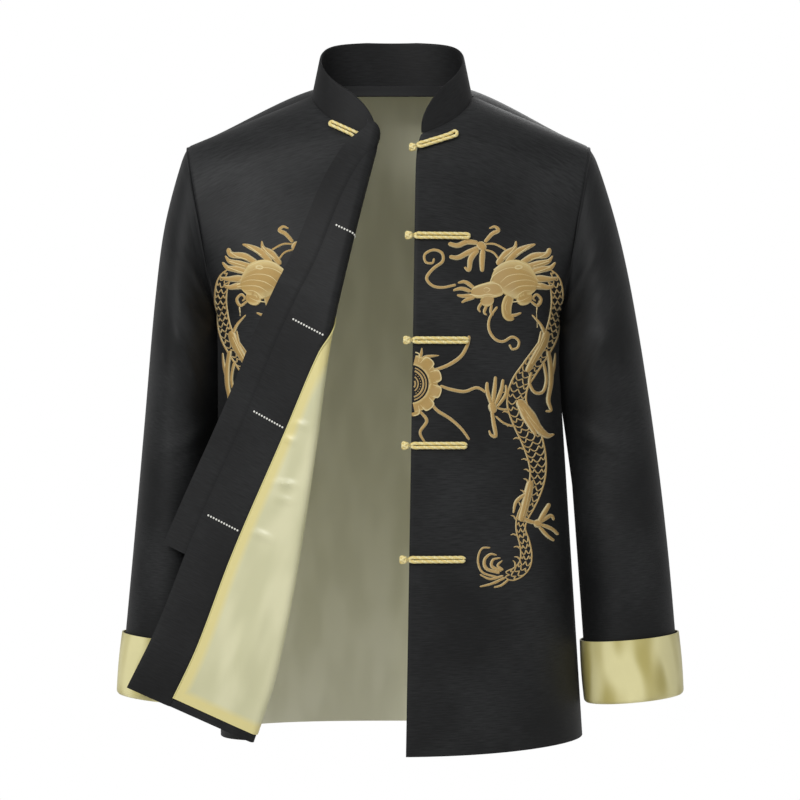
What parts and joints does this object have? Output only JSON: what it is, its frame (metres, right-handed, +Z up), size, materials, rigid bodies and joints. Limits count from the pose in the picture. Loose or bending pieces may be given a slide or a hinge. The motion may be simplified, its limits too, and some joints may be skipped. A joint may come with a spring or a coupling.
{
  "type": "tang jacket",
  "caption": "Hollow black jacket with a stand collar, cord frogs, turned-back satin cuffs and one front folded back.",
  "frame": {"origin": "centre of the neck opening, level with the points where the shoulder seams meet the collar", "axes": "+Z up along the wearer's neck, -Y out of the wearer's chest, +X towards the wearer's left"},
  "size_m": [0.6188, 0.2427, 0.7761],
  "materials": {
    "black_cloth": "charcoal-black plain-woven silk-look cloth with fine slubs",
    "pale_satin": "pale greenish-yellow satin",
    "cream_cord": "twisted cream-yellow satin cord",
    "gold_thread": "old-gold embroidery thread in satin stitch"
  },
  "bodies": {
    "root": {"back": "black_cloth", "left_front": "black_cloth", "right_front": "black_cloth", "right_underlap": "black_cloth", "right_facing": "black_cloth", "left_sleeve": "black_cloth", "right_sleeve": "black_cloth", "collar": "black_cloth", "right_lining": "pale_satin", "left_cuff": "pale_satin", "right_cuff": "pale_satin", "left_frog_1": "cream_cord", "right_frog_1": "cream_cord", "left_knot_1": "cream_cord", "left_frog_2": "cream_cord", "right_frog_2": "cream_cord", "left_knot_2": "cream_cord", "left_frog_3": "cream_cord", "right_frog_3": "cream_cord", "left_knot_3": "cream_cord", "left_frog_4": "cream_cord", "right_frog_4": "cream_cord", "left_knot_4": "cream_cord", "left_frog_5": "cream_cord", "right_frog_5": "cream_cord", "left_knot_5": "cream_cord"}
  },
  "joints": []
}
